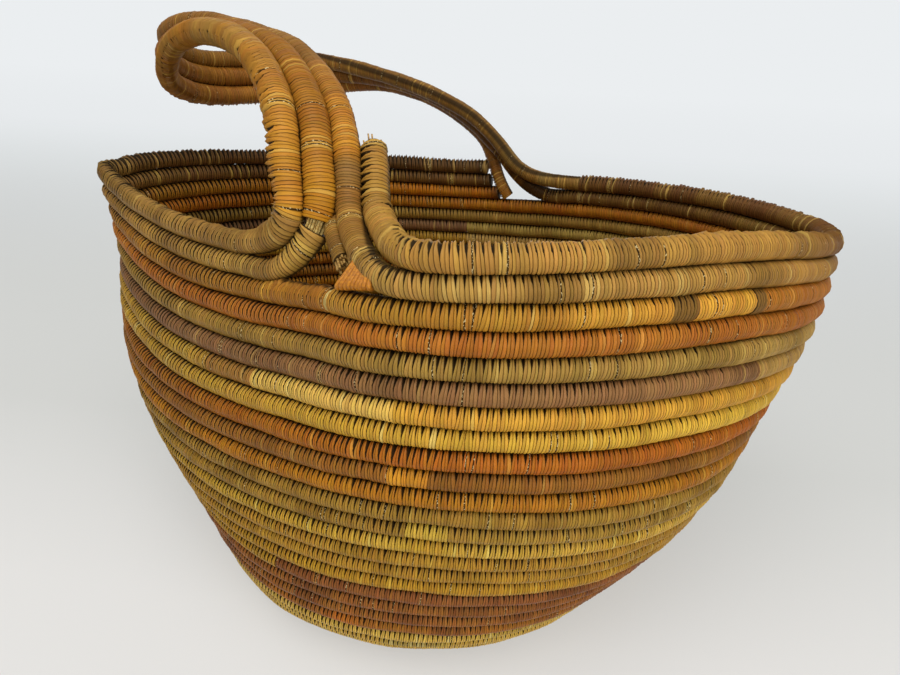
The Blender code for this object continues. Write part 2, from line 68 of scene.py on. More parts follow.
def natural_spline(knots, values, at):
    """Smooth curve through the knots with no bend at its two ends."""
    knots = np.asarray(knots, float)
    values = np.asarray(values, float)
    count = len(knots)
    gaps = np.diff(knots)
    system = np.eye(count)
    side = np.zeros((count,) + values.shape[1:])
    for i in range(1, count - 1):
        system[i, i - 1] = gaps[i - 1]
        system[i, i] = 2.0 * (gaps[i - 1] + gaps[i])
        system[i, i + 1] = gaps[i]
        after = (values[i + 1] - values[i]) / gaps[i]
        before = (values[i] - values[i - 1]) / gaps[i - 1]
        side[i] = 6.0 * (after - before)
    bend = np.linalg.solve(system, side)
    at = np.atleast_1d(np.asarray(at, float))
    cell = np.clip(np.searchsorted(knots, at, side="right") - 1, 0, count - 2)
    shape = (-1,) + (1,) * (values.ndim - 1)
    gap = gaps[cell].reshape(shape)
    ahead = (knots[cell + 1] - at).reshape(shape)
    behind = (at - knots[cell]).reshape(shape)
    cubic = (bend[cell] * ahead ** 3 + bend[cell + 1] * behind ** 3) / (6.0 * gap)
    start = (values[cell] / gap - bend[cell] * gap / 6.0) * ahead
    end = (values[cell + 1] / gap - bend[cell + 1] * gap / 6.0) * behind
    return cubic + start + end


def unit(vectors):
    length = np.linalg.norm(vectors, axis=-1, keepdims=True)
    return vectors / length


def coil_thickness(level):
    return np.interp(level, (0, 6, 14, 20), (coil_rim, coil_upper, coil_middle, coil_lower))


def slant_share(level):
    """Share of the slant height at a level counted in courses down from the rim."""
    middles = np.arange(wall_courses) + 0.5
    steps = coil_thickness(middles)
    down = np.concatenate(([-coil_rim], [0.0], np.cumsum(steps)))
    lengths = np.interp(level, np.arange(-1, wall_courses + 1), down)
    return 1.0 - lengths / np.sum(steps)


def slant_height():
    return float(np.sum(coil_thickness(np.arange(wall_courses) + 0.5)))


def profile(share, reach, reach_shares, lift):
    """Reach and height of one side of the wall, rolled out along its slant."""
    fine = np.linspace(0.0, 1.05, 211)
    curve = natural_spline(height_shares, reach_shares, fine) * reach
    slope = np.gradient(curve, fine) / slant_height()
    rise = np.sqrt(1.0 - np.clip(slope, -0.97, 0.97) ** 2) * slant_height()
    steps = (rise[1:] + rise[:-1]) * 0.5 * np.diff(fine)
    height = np.concatenate(([0.0], np.cumsum(steps)))
    raised = np.interp(share, fine, height) + lift * np.clip(share, 0.0, None) ** 1.5
    return np.interp(share, fine, curve), raised


def corner_power(share, fullness):
    base, middle, rim = fullness
    lower = base + (middle - base) * share * 2.0
    upper = middle + (rim - middle) * (share * 2.0 - 1.0)
    return 2.0 / np.where(share < 0.5, lower, upper)


def softened(value, power):
    """A signed power whose corner at zero is rounded off."""
    return value * (value ** 2 + flat_corner ** 2) ** ((power - 1.0) * 0.5)


def choose(right, back, back_right, back_left, front_right, front_left):
    behind = np.where(right, back_right, back_left)
    before = np.where(right, front_right, front_left)
    return np.where(back, behind, before)


def sharp_wall_point(level, degrees):
    """Middle of the coil on the wall, with the oval's four quarters set edge to edge."""
    angle = np.radians(degrees)
    share = slant_share(level)
    cos, sin = np.cos(angle), np.sin(angle)
    right, back = cos > 0, sin > 0
    reach_r, high_r = profile(share, reach_right, right_shares, lift_right)
    reach_l, high_l = profile(share, reach_left, left_shares, lift_left)
    reach_f, high_f = profile(share, reach_front, front_shares, lift_front)
    reach_b, high_b = profile(share, reach_back, back_shares, lift_back)
    power = choose(
        right, back,
        corner_power(share, full_back_right),
        corner_power(share, full_back_left),
        corner_power(share, full_front_right),
        corner_power(share, full_front_left),
    )
    corner = choose(
        right, back,
        corner_back_right, corner_back_left,
        corner_front_right, corner_front_left,
    )
    x = softened(cos, power) * np.where(right, reach_r, reach_l)
    y = softened(sin, power) * np.where(back, reach_b, reach_f)
    z = cos ** 2 * np.where(right, high_r, high_l) + sin ** 2 * np.where(back, high_b, high_f)
    z = z + corner * np.sin(2.0 * angle) ** 2 * share
    pull = np.exp(-((np.mod(degrees, 360.0) - pull_angle) / pull_width) ** 2)
    pull = pull * np.clip(share, 0.0, None) ** 2
    x = x - pull_in * pull * cos
    y = y - pull_in * pull * sin
    return np.stack([x, y, z], axis=-1)


def wall_point(level, degrees):
    """Middle of the coil on the wall, at a level and a direction round the oval."""
    from_front = (np.mod(degrees, 360.0) - 270.0) / front_ease_width
    spread = front_ease * np.exp(-from_front ** 2)
    total = 0.0
    for share, weight in ((-1.0, 1.0), (-0.5, 2.0), (0.0, 3.0), (0.5, 2.0), (1.0, 1.0)):
        total = total + sharp_wall_point(level, degrees + spread * share) * weight / 9.0
    return total


def base_middle():
    x = (reach_right * right_shares[0] - reach_left * left_shares[0]) * 0.5
    y = (reach_back * back_shares[0] - reach_front * front_shares[0]) * 0.5
    return np.array([x, y, 0.0])


def start_point(edge):
    """Nearest point of the straight start to a point on the base's edge."""
    nearest = np.array(base_middle() + edge * 0.0)
    away = edge[..., 0] - base_middle()[0]
    nearest[..., 0] += np.clip(away, -start_half_length, start_half_length)
    return nearest


def base_courses():
    """Rounds of the base, ending so that the straight start lies between its neighbours."""
    degrees = np.linspace(0.0, 360.0, 73)[:-1]
    edge = wall_point(np.full(72, float(wall_courses)), degrees)
    spread = np.linalg.norm(edge - start_point(edge), axis=-1)
    return math.floor(float(np.mean(spread)) / coil_lower) + 0.25


def last_level():
    """Level at which the coil's straight start begins."""
    return wall_courses + base_courses() - start_share


def basket_point(level, degrees):
    """Middle of the coil on the wall, or on the flat base below its edge."""
    on_wall = wall_point(np.minimum(level, wall_courses), degrees)
    start = start_point(on_wall)
    rounds = base_courses()
    share = (wall_courses + rounds - level) / rounds
    on_base = start + (on_wall - start) * share[..., None]
    return np.where((level > wall_courses)[..., None], on_base, on_wall)


def level_at(turn):
    """Course level at a running angle, which grows as the coil goes down and round."""
    return (turn - 270.0) / 360.0 + 0.5


def turn_at(course, degrees):
    """Running angle of a direction on a course: from the front foot by the right end."""
    beyond = degrees if degrees >= 270.0 else degrees + 360.0
    if degrees < 90.0 or degrees >= 270.0:
        return beyond + 360.0 * (course - 1)
    return degrees + 360.0 * (course - 1)


def across_only(apart, along):
    """Length of a step between two turns, square to the coil."""
    return np.linalg.norm(apart - along * np.sum(apart * along, axis=-1, keepdims=True), axis=-1)


def spiral(turns):
    """Centres, side directions and half thickness of the coil at running angles."""
    turns = np.asarray(turns, float)
    levels = level_at(turns)
    last = wall_courses + base_courses()
    centres = basket_point(levels, turns)
    step = 0.5
    ahead = basket_point(np.minimum(level_at(turns + step), last), turns + step)
    along = unit(ahead - basket_point(level_at(turns - step), turns - step))
    lower = basket_point(np.minimum(levels + 1.0, last), turns)
    upper = basket_point(levels - 1.0, turns)
    nearer = basket_point(np.minimum(levels + 0.35, last), turns)
    down = nearer - basket_point(levels - 0.35, turns)
    above = across_only(centres - upper, along)
    below = np.where(levels + 1.0 > last, above, across_only(centres - lower, along))
    room = np.where(levels < 1.2, below, np.minimum(above, below))
    return centres, unit(down), (room - turn_gap) * 0.5


# The binding of the coil: split palm leaf, dyed and wound tight over the grass. Dry leaf has a
# satin gloss. Each turn of strip has its own tone, and two and two turns draw together where the
# needle goes through at the upper side, which leaves a dark V between one pair and the next. The
# shade in these Vs, in the seams between strips and in the crevices between rounds is painted
# shade in the colour.
def tone(code):
    """A shader colour from the sRGB hex that a paint chart would give."""
    parts = [int(code[i:i + 2], 16) / 255.0 for i in (1, 3, 5)]
    linear = [p / 12.92 if p <= 0.04045 else ((p + 0.055) / 1.055) ** 2.4 for p in parts]
    return (*linear, 1.0)


def add_node(tree, kind, sources=(), output=0, **settings):
    """Adds a node, sets it, fills or links its sockets and gives back one of its outputs.

    A kind in capitals is what a Math node works out.
    """
    if kind.isupper():
        kind, settings["operation"] = "Math", kind
    node = tree.nodes.new("ShaderNode" + kind)
    for key, value in settings.items():
        setattr(node, key, value)
    for socket, source in sources.items() if isinstance(sources, dict) else enumerate(sources):
        if isinstance(source, bpy.types.NodeSocket):
            tree.links.new(source, node.inputs[socket])
        else:
            node.inputs[socket].default_value = source
    return node.outputs[output]


def new_finish(name):
    """A material, its shader, and short ways to link its sockets and to add a node to it."""
    material = bpy.data.materials.new(name)
    material.use_nodes = True
    tree = material.node_tree
    return material, tree.nodes["Principled BSDF"], tree.links.new, partial(add_node, tree)


def binding(name, stops, second, odd, odd_share=0.025, spread=0.13, seed=0.0, touching=(1.0, 1.0)):
    """Dyed palm strip: colours along the coil, a second tone in patches and a few odd strips."""
    material, shader, link, put = new_finish(name)
    soft = {"interpolation_type": "SMOOTHSTEP"}
    strips = put("SeparateXYZ", [put("UVMap", uv_map="strips")]).node.outputs
    count, round_coil = strips[0], strips[1]
    placed = put("SeparateXYZ", [put("UVMap", uv_map="length")]).node.outputs
    along, looseness = placed[0], placed[1]

    # Chance by strip, patches about twenty strips long, and the leaf's grain along each strip.
    number = put("FLOOR", [count])
    chance = put("TexWhiteNoise", {1: put("ADD", [number, seed])}, noise_dimensions="1D")
    other = put("TexWhiteNoise", {1: put("ADD", [number, seed + 71.3])}, noise_dimensions="1D")
    patch_place = put("MULTIPLY_ADD", [count, 0.045, seed])
    detail = {"Scale": 1.0, "Detail": 3.0}
    patches = put("TexNoise", {"W": patch_place, **detail}, noise_dimensions="1D")
    grain_across = put("MULTIPLY_ADD", [count, 5.5, seed])
    grain_place = put("CombineXYZ", [grain_across, put("MULTIPLY", [round_coil, 5.0])])
    grain = put("TexNoise", {"Vector": grain_place, **detail}, noise_dimensions="2D")

    ramp = put("ValToRGB", [along])
    elements = ramp.node.color_ramp.elements
    elements.remove(elements[1])
    elements[0].position, elements[0].color = stops[0][0], tone(stops[0][1])
    for place, code in stops[1:]:
        elements.new(place).color = tone(code)
    mixed = {"output": 2, "data_type": "RGBA"}
    patchy = put("MapRange", [patches, 0.42, 0.68, 0.0, 0.75], **soft)
    colour = put("Mix", {0: patchy, 6: ramp, 7: tone(second)}, **mixed)
    is_odd = put("GREATER_THAN", [other, 1.0 - odd_share])
    is_odd = put("MULTIPLY", [is_odd, 0.45])
    colour = put("Mix", {0: is_odd, 6: colour, 7: tone(odd)}, **mixed)
    level = put("MULTIPLY_ADD", [chance, spread * 2.0, 1.0 - spread])
    grained = put("MapRange", [grain, 0.3, 0.7, 0.90, 1.08], **soft)
    level = put("MULTIPLY", [level, grained])
    hue = put("MULTIPLY_ADD", [other, 0.012, 0.494])
    varied = put("HueSaturation", {"Hue": hue, "Saturation": 1.0, "Value": level, "Color": colour})

    # Painted shade in the slit between two pairs: widest at the coil's upper side, longer where
    # strips lie loose.
    pair = put("FRACT", [put("MULTIPLY", [count, 0.5])])
    pair = put("MINIMUM", [pair, put("SUBTRACT", [1.0, pair])])
    from_gap = put("MULTIPLY", [pair, 2.0])
    from_top = put("ABSOLUTE", [put("SUBTRACT", [round_coil, 0.5])])
    reach = put("MULTIPLY_ADD", [looseness, 0.33, 0.085])
    narrowing = put("DIVIDE", [from_top, reach])
    narrowing = put("SUBTRACT", [1.0, narrowing])
    bowed = put("MULTIPLY_ADD", [looseness, -0.6, 1.0])
    narrowing = put("POWER", [put("MAXIMUM", [narrowing, 0.0]), bowed])
    widest = put("MULTIPLY_ADD", [looseness, 0.40, 0.20])
    opening = put("MULTIPLY", [narrowing, widest])
    opening = put("MAXIMUM", [opening, 0.0])
    slit = put("SUBTRACT", [opening, from_gap])
    slit = put("MapRange", [slit, -0.10, 0.04, 0.0, 1.0], **soft)

    # Painted shade in the seam between any two strips, and here and there a splice, where a strip
    # ends, cut ragged.
    beside = put("SUBTRACT", [put("FRACT", [count]), 0.5])
    beside = put("MULTIPLY", [put("ABSOLUTE", [beside]), 2.0])
    nearest = put("ADD", [put("ROUND", [count]), seed + 13.7])
    nearest = put("TexWhiteNoise", {1: nearest}, noise_dimensions="1D")
    between = put("MULTIPLY_ADD", [nearest, 0.45, 0.52])
    seam = put("MapRange", [beside, 0.66, 1.0, 0.0, 1.0], **soft)
    seam = put("MULTIPLY", [seam, between])
    splice = put("MapRange", [nearest, 0.968, 0.975, 0.0, 1.0], **soft)
    cut = put("MapRange", [beside, 0.35, 0.75, 0.0, 1.0], **soft)
    cut = put("MULTIPLY", [splice, cut])

    # Painted shade in the crevices where the coil lies against the rounds above and below it: the
    # colour darkens towards the coil's upper and lower sides, as much as touching sets.
    seam_shade_brown, shade_and_cut_dark, torn_pale = "#4C2E10", "#140900", "#DCC48C"
    fold = put("PINGPONG", [round_coil, 0.5])
    crevice = put("MapRange", [fold, 0.41, 0.49, 0.0, 0.85 * touching[0]], **soft)
    foot = put("MapRange", [fold, 0.03, 0.10, 0.85 * touching[1], 0.0], **soft)
    # Painted shade: the seams are darkened by multiplying their colour with brown.
    shaded = put("Mix", {0: seam, 6: varied, 7: tone(seam_shade_brown)}, blend_type="MULTIPLY", **mixed)
    # Painted shade in the slits, crevices and foot, together with the darker edges of ragged cuts,
    # mixed towards near-black brown.
    slit_shade = put("MULTIPLY", [slit, 0.96])
    dark = put("MAXIMUM", [slit_shade, put("MULTIPLY", [cut, 0.85])])
    dark = put("MAXIMUM", [dark, put("MAXIMUM", [crevice, foot])])
    shaded = put("Mix", {0: dark, 6: shaded, 7: tone(shade_and_cut_dark)}, **mixed)
    dark = put("MAXIMUM", [dark, seam])

    # Pale flecks of torn leaf at the splices.
    fleck_across = put("MULTIPLY", [count, 3.0])
    fleck_place = put("CombineXYZ", [fleck_across, put("MULTIPLY", [round_coil, 34.0])])
    detail = {"Scale": 1.0, "Detail": 1.0}
    flecks = put("TexNoise", {"Vector": fleck_place, **detail}, noise_dimensions="2D")
    flecks = put("MapRange", [flecks, 0.60, 0.66, 0.0, 1.0], **soft)
    pale = put("MULTIPLY", [splice, flecks])
    torn = put("MapRange", [beside, 0.3, 0.7, 0.0, 1.0], **soft)
    pale = put("MULTIPLY", [pale, torn])
    shaded = put("Mix", {0: pale, 6: shaded, 7: tone(torn_pale)}, **mixed)
    link(shaded, shader.inputs["Base Color"])

    # Satin leaf: smoother on the crown of a strip, dull in the slits.
    shine = put("MapRange", [grain, 0.3, 0.7, 0.34, 0.52], **soft)
    shine = put("MULTIPLY_ADD", [dark, 0.3, shine])
    link(shine, shader.inputs["Roughness"])
    shader.inputs["Specular IOR Level"].default_value = 0.24
    shader.inputs["Specular Tint"].default_value = (1.0, 0.84, 0.58, 1.0)
    crown = put("SUBTRACT", [1.0, put("POWER", [beside, 3.0])])
    height = put("MULTIPLY_ADD", [grain, 0.35, crown])
    height = put("SUBTRACT", [height, slit])
    bump = put("Bump", {"Strength": 0.55, "Distance": 0.0004, "Height": height})
    link(bump, shader.inputs["Normal"])
    return material


def smooth_chance(dice, places, spacing, size):
    """A slowly wandering value along the coil, for work done by hand."""
    knots = np.arange(0.0, places[-1] + spacing * 2.0, spacing)
    return np.interp(places, knots, dice.normal(0.0, size, len(knots)))


def bound_coil(name, run, sides=14, strip_share=0.24, slant=0.08, top=-1.0, gap=0.26, crimp=0.0,
               loose=None, floor=None, seed=1, swell=1.0):
    """A coil with every strip of its binding a ridge, two and two drawn together at the upper side.

    A run holds the coil's middle line, the direction to one side of it and half its thickness.
    Depths and ridges are shares of that half. A strip's width is strip_share of it, and more where
    the strips lie loose, as they do to the left. Crimp stands the stitch heads up unevenly.
    """
    points, side, half = run
    dice = np.random.default_rng(seed)
    steps = np.linalg.norm(np.diff(points, axis=0), axis=1)
    reached = np.concatenate(([0.0], np.cumsum(steps)))
    share = np.linspace(0.0, 1.0, len(points))
    if loose is None:
        in_middle, to_left, most = 0.53, 2.2, 0.76
        loose = np.minimum(in_middle - to_left * (points[:, 0] + 0.02), most)
    loose = np.clip(loose + np.zeros(len(points)), 0.0, 1.0)
    broader = 1.0 + 0.55 * np.clip(loose - 0.3, 0.0, 1.0)
    per_metre = 1.0 / (strip_share * half * broader)
    counted = np.concatenate(([0.0], np.cumsum((per_metre[1:] + per_metre[:-1]) * 0.5 * steps)))
    pairs = max(int(round(counted[-1] / 2.0)), 1)
    edges = np.arange(2 * pairs + 1, dtype=float)
    uneven = 0.20
    edges[1:-1] += dice.uniform(-uneven, uneven, 2 * pairs - 1)
    wanted = np.empty(4 * pairs + 1)
    wanted[0::2] = edges
    wanted[1::2] = (edges[1:] + edges[:-1]) * 0.5
    place = np.interp(wanted * counted[-1] / (2.0 * pairs), counted, reached)
    rows = np.column_stack([points, side, half, share])
    rows = np.column_stack([np.interp(place, reached, rows[:, i]) for i in range(8)])
    centre, side, half, share = rows[:, :3], rows[:, 3:6], rows[:, 6], rows[:, 7]
    ahead = unit(np.gradient(centre, axis=0))
    side = unit(side - ahead * np.sum(side * ahead, axis=1, keepdims=True))
    outward = np.cross(side, ahead)
    half = half * swell * (1.0 + smooth_chance(dice, place, 0.012, 0.018))
    centre = centre + side * smooth_chance(dice, place, 0.02, 0.00012)[:, None]
    centre = centre + outward * smooth_chance(dice, place, 0.02, 0.00025)[:, None]

    loose = np.interp(place, reached, loose)
    loose = np.clip(loose + smooth_chance(dice, place, 0.03, 0.09), 0.05, 1.0)[:, None]

    # Four rings to a pair of strips: the slit before it, a crown, the groove between, a crown.
    kind = (np.arange(len(place)) % 4)[:, None]
    in_slit, first_crown, in_groove, second_crown = (kind == k for k in range(4))
    slit_depth, groove_depth, touching_line, drawn_share = 0.07, 0.06, 0.97, 0.13
    angle = np.arange(sides) * 2.0 * math.pi / sides
    up = np.cos(angle)[None, :] * top
    fully_drawn = 0.92
    low = 0.62 - 0.75 * loose
    drawn = np.clip((up - low) / (fully_drawn - low), 0.0, 1.0)
    drawn = drawn * drawn * (3.0 - 2.0 * drawn)
    drawn = np.where(up > touching_line, 0.0, drawn)
    opened = slit_depth * (up < touching_line) + gap * drawn * (0.6 + 0.5 * loose)
    depth = np.where(in_slit, opened, 0.0)
    depth = depth + np.where(in_groove, groove_depth * (np.abs(up) < touching_line), 0.0)
    lifted = dice.uniform(-0.03, 0.02, len(place))[:, None]
    depth = depth - np.where(kind % 2 == 1, lifted, 0.0)
    sway = np.zeros((len(place), 1))
    if crimp > 0.0:
        head_from, head_wide, pit = 0.55, 0.45, 0.22
        leans_up, leans_down = 0.16, 0.12
        ridge = np.clip((up - head_from) / head_wide, 0.0, 1.0)
        taller = dice.uniform(0.04, 0.24, len(place))[:, None] * crimp
        depth = depth - np.where(first_crown, ridge * taller, 0.0)
        depth = depth - np.where(second_crown, ridge * taller * 0.5, 0.0)
        depth = depth + np.where(in_slit, ridge * pit * crimp, 0.0)
        sway = np.where(first_crown, leans_up, 0.0) - np.where(second_crown, leans_down, 0.0)
        sway = sway * ridge * crimp * half[:, None]
    width = (np.gradient(place) * 2.0)[:, None]
    lean = dice.normal(0.0, 0.05, len(place))
    lean = np.repeat(lean[::4], 4)[:len(place)]
    push = (slant + lean)[:, None] * half[:, None] * up
    push = push + np.where(first_crown, drawn_share, 0.0) * drawn * width
    push = push - np.where(second_crown, drawn_share, 0.0) * drawn * width
    radius = half[:, None] * (1.0 - depth)
    spots = (centre[:, None, :]
             + side[:, None, :] * (radius * np.cos(angle))[:, :, None]
             + outward[:, None, :] * (radius * np.sin(angle) + sway)[:, :, None]
             + ahead[:, None, :] * push[:, :, None])
    spots = spots + stand
    if floor is not None:
        spots[:, :, 2] = np.maximum(spots[:, :, 2], floor)

    # Four-sided faces round the coil and a cap at each end.
    rings = len(place)
    mesh = bpy.data.meshes.new(name)
    ring, spot = np.meshgrid(np.arange(rings - 1), np.arange(sides), indexing="ij")
    ring, spot = ring.ravel(), spot.ravel()
    after = (spot + 1) % sides
    corners = np.column_stack([ring * sides + spot, ring * sides + after,
                               (ring + 1) * sides + after, (ring + 1) * sides + spot])
    quads = len(corners)
    caps = np.concatenate([np.arange(sides)[::-1], (rings - 1) * sides + np.arange(sides)])
    mesh.vertices.add(rings * sides)
    mesh.vertices.foreach_set("co", spots.reshape(-1))
    mesh.loops.add(quads * 4 + sides * 2)
    mesh.loops.foreach_set("vertex_index", np.concatenate([corners.ravel(), caps]).astype(np.int32))
    mesh.polygons.add(quads + 2)
    starts = np.concatenate([np.arange(quads) * 4, [quads * 4, quads * 4 + sides]])
    mesh.polygons.foreach_set("loop_start", starts.astype(np.int32))

    # Two maps for the binding: strips counted along and round the coil, and length with looseness.
    strips = mesh.uv_layers.new(name="strips")
    round_coil = np.column_stack([spot, spot + 1, spot + 1, spot]) / sides
    if top > 0.0:
        round_coil = np.where(round_coil > 0.5, round_coil - 0.5, round_coil + 0.5)
        wraps = (round_coil.max(axis=1) - round_coil.min(axis=1)) > 0.5
        round_coil[wraps] += np.where(round_coil[wraps] < 0.5, 1.0, 0.0)
    four = np.column_stack([ring, ring, ring + 1, ring + 1])
    counts = four / 2.0
    ends = np.zeros((sides * 2, 2))
    mapped = np.concatenate([np.stack([counts, round_coil], axis=-1).reshape(-1, 2), ends + 0.5])
    strips.data.foreach_set("uv", mapped.ravel())
    length = mesh.uv_layers.new(name="length")
    shares = np.concatenate([share[four].ravel(), np.zeros(sides), np.ones(sides)])
    slacks = np.concatenate([loose[:, 0][four].ravel(), np.full(sides * 2, 0.3)])
    length.data.foreach_set("uv", np.column_stack([shares, slacks]).ravel())
    mesh.update(calc_edges=True)
    mesh.validate()
    mesh.shade_smooth()
    piece = bpy.data.objects.new(name, mesh)
    bpy.context.collection.objects.link(piece)
    return piece


def wound(first, final, step=1.0):
    """The coil's middle line, lower side and half thickness between two running angles.

    The binding fills the gap between two rounds and swells a little more, so that they touch.
    """
    gap_filled, swollen = 0.55, 0.00025
    turns = np.linspace(first, final, max(int((final - first) / step), 8) + 1)
    centres, down, half = spiral(turns)
    return centres, down, half + turn_gap * gap_filled + swollen


def dressed(piece, node, material):
    """The piece takes its finish and stands for its solid in the frame."""
    piece.data.materials.clear()
    piece.data.materials.append(material)
    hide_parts(node)
    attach(piece, "root")


def laid(name, slot, finish, run, node=None, **shape):
    """A coil bound and dressed, for the node of its own name unless another is given."""
    dressed(bound_coil(name, run, **shape), node or name, finish)


# The base and the four lowest courses: undyed pale palm, the thinnest coil. The rounds of the
# base lie on the table, so their undersides are pressed flat.
natural = binding("undyed_palm",
                  [(0.0, "#D6AE4C"), (0.1115, "#D6AE4C"), (0.1125, "#B8963E"), (0.117, "#B8963E"),
                   (0.118, "#D6AE4C"), (0.299, "#D6AE4C"), (0.300, "#A88E40"), (0.3052, "#A88E40"),
                   (0.3062, "#D6AE4C")],
                  "#C0983E", "#E2CB86", 0.04, spread=0.10, seed=3.0)
lowest = turn_at(22, 90.0)
base_edge = (wall_courses - 0.5) * 360.0 + 270.0
inmost = (last_level() - 0.5) * 360.0 + 270.0
laid("natural_wall_courses", "natural", natural, wound(lowest, base_edge), "natural_base_coil",
     sides=12, seed=11, floor=0.0)
laid("base_rounds", "natural", natural, wound(base_edge, inmost, 2.0), "natural_base_coil",
     sides=8, strip_share=0.36, seed=12, floor=0.0)


# The wall above it: the same coil, bound in one dyed colour after another. Each length ends in a
# splice where the next colour's strip is laid in, most of them out of sight at the back. The two
# lashings are wound over the third course and stand a little proud of it.
bands = (
    # Name, end as course and degrees, slot, colours along it, second colour, odd strips, slit.
    ("third_course_yellow_orange", (3, 302.7), "yellow_orange",
     [(0.0, "#B8842E"), (0.35, "#AC7C28"), (0.7, "#BE882C"), (1.0, "#D09432")],
     "#A87022", "#E6BC66", 0.30),
    ("wide_lashing", (3, 305.9), "brown", [(0.0, "#7E5A24")], "#6A481C", "#B98E4C", 0.05),
    ("third_course_yellow_right", (3, 315.0), "yellow_orange",
     [(0.0, "#D89C36")], "#BA7E28", "#E6BC66", 0.30),
    ("narrow_lashing", (3, 316.8), "brown", [(0.0, "#825A24")], "#6E4A1C", "#B98E4C", 0.05),
    ("fourth_course_orange_red", (4, 348.0), "orange_red",
     [(0.0, "#AA6A20"), (0.15, "#AA6A20"), (0.28, "#A86818"), (0.42, "#A06414"), (0.50, "#AC6618"),
      (0.80, "#B46E24"), (0.95, "#A8661E")],
     "#A05C1A", "#D08A40", 0.34),
    ("fifth_course_khaki", (6, 90.0), "khaki",
     [(0.0, "#9E7C3A"), (0.24, "#946E2C"), (0.40, "#886628"), (0.42, "#9C762C"), (0.55, "#A07A34"),
      (0.80, "#B08C44"), (0.88, "#C6A048"), (0.91, "#A88A40")],
     "#88682A", "#CBA456", 0.34),
    ("sixth_course_purple_brown", (6, 319.0), "purple_brown",
     [(0.0, "#7A5434"), (0.40, "#7C5634"), (0.55, "#8C623A"), (1.0, "#986C3E")],
     "#7C5632", "#B88E4E", 0.34),
    ("sixth_course_khaki_brown", (7, 90.0), "tan_brown",
     [(0.0, "#B48C46")], "#9A7236", "#CDA45E", 0.32),
    ("seventh_course_mustard", (7, 230.0), "mustard",
     [(0.0, "#A67A28"), (1.0, "#B88E32")], "#A0762A", "#D2AC58", 0.34),
    ("seventh_course_tan", (7, 239.5), "tan_brown", [(0.0, "#AA7834")], "#966A2C", "#C89C56", 0.34),
    ("seventh_course_bright_yellow", (7, 268.0), "bright_yellow",
     [(0.0, "#DCB252")], "#CCA04A", "#ECCF7C", 0.34),
    ("seventh_course_yellow_orange", (8, 90.0), "yellow_orange",
     [(0.0, "#D49C34")], "#B8822A", "#E0B45C", 0.34),
    ("eighth_course_yellow", (9, 90.0), "bright_yellow",
     [(0.0, "#AE8432"), (0.38, "#B28830"), (0.52, "#CE9E34"), (0.62, "#DEB03C")],
     "#C0942E", "#ECCF7C", 0.36),
    ("ninth_course_red_orange", (10, 90.0), "orange_red",
     [(0.0, "#9C6018"), (0.40, "#A26418"), (0.50, "#B06618"), (0.58, "#AE6016")],
     "#965412", "#CE8C38", 0.34),
    ("tenth_course_brown_left", (10, 267.7), "brown",
     [(0.0, "#986220")], "#80521C", "#B98840", 0.34),
    ("tenth_course_orange_length", (10, 273.5), "orange",
     [(0.0, "#D08E24")], "#BC7C20", "#DDA850", 0.34),
    ("tenth_course_brown_right", (11, 90.0), "brown",
     [(0.0, "#966020"), (0.30, "#98621E"), (0.44, "#AC701E")], "#80501A", "#B98840", 0.34),
    ("eleventh_course_orange", (12, 90.0), "orange",
     [(0.0, "#B07218")], "#A06414", "#D29A3C", 0.34),
    ("khaki_band_upper", (13, 270.6), "khaki", [(0.0, "#A27A2C")], "#84601E", "#BE9C4C", 0.36),
    ("khaki_band_yellow_length", (13, 276.5), "bright_yellow",
     [(0.0, "#CCA63C")], "#BA9434", "#DCC070", 0.36),
    ("khaki_band_lower", (14, 90.0), "khaki", [(0.0, "#AC8432")], "#866420", "#BE9C4C", 0.36),
    ("fourteenth_course_yellow", (15, 90.0), "bright_yellow",
     [(0.0, "#BC922E"), (0.45, "#C09632"), (0.58, "#CCA23E")], "#B88C26", "#E6CA6A", 0.36),
    ("brownish_yellow_band", (17, 90.0), "mustard",
     [(0.0, "#B2842A")], "#9C7222", "#C69E44", 0.36),
    ("mustard_band", (18, 246.0), "yellow_orange",
     [(0.0, "#B88824")], "#A27620", "#CDA442", 0.36),
    ("red_brown_band", (22, 90.0), "red_brown",
     [(0.0, "#905628"), (0.15, "#925826"), (0.30, "#965C24"), (0.8385, "#9C6024"),
      (0.8395, "#BE721C"), (0.8425, "#BE721C"), (0.8435, "#9C6024"), (0.850, "#9C6024"),
      (0.851, "#B86A1C"), (0.854, "#B86A1C"), (0.855, "#A0641F"), (1.0, "#A0641F")],
     "#703E1C", "#B46C26", 0.32),
)


# The third course is the last of the coil that starts in the base, and it ends at the back foot.
# Under the front foot its stitch heads stand up, and at one seam the bare grass shows.
left_third_end, heads_from = 799.4, turn_at(3, 238.0)
seam_from, first = turn_at(3, 252.1), turn_at(3, 252.9)
third = "third_course_yellow_orange"
# The dark brown at the start of this length, at the back foot, is painted shade.
finish = binding("third_course_left_palm",
                 [(0.0, "#5A3410"), (0.03, "#B0660E"), (0.22, "#B0680F"), (0.5, "#9E6C20"),
                  (1.0, "#A47024")],
                 "#96601E", "#D29A3C", seed=3.5)
laid("third_course_left", "yellow_orange", finish, wound(left_third_end, heads_from), third,
     seed=18)
finish = binding("third_course_heads_palm", [(0.0, "#A87024")], "#96601E", "#D29A3C", seed=3.7)
laid("third_course_heads", "yellow_orange", finish, wound(heads_from, seam_from, 0.5), third,
     crimp=1.3, loose=0.6, seed=19)
finish = binding("third_course_seam_palm", [(0.0, "#D9BE74")], "#B08A42", "#E2CB86", spread=0.2,
                 seed=3.9)
laid("third_course_seam", "bare_core", finish, wound(seam_from, first, 0.1), third,
     strip_share=0.10, gap=0.05, loose=0.05, swell=0.93, seed=17)

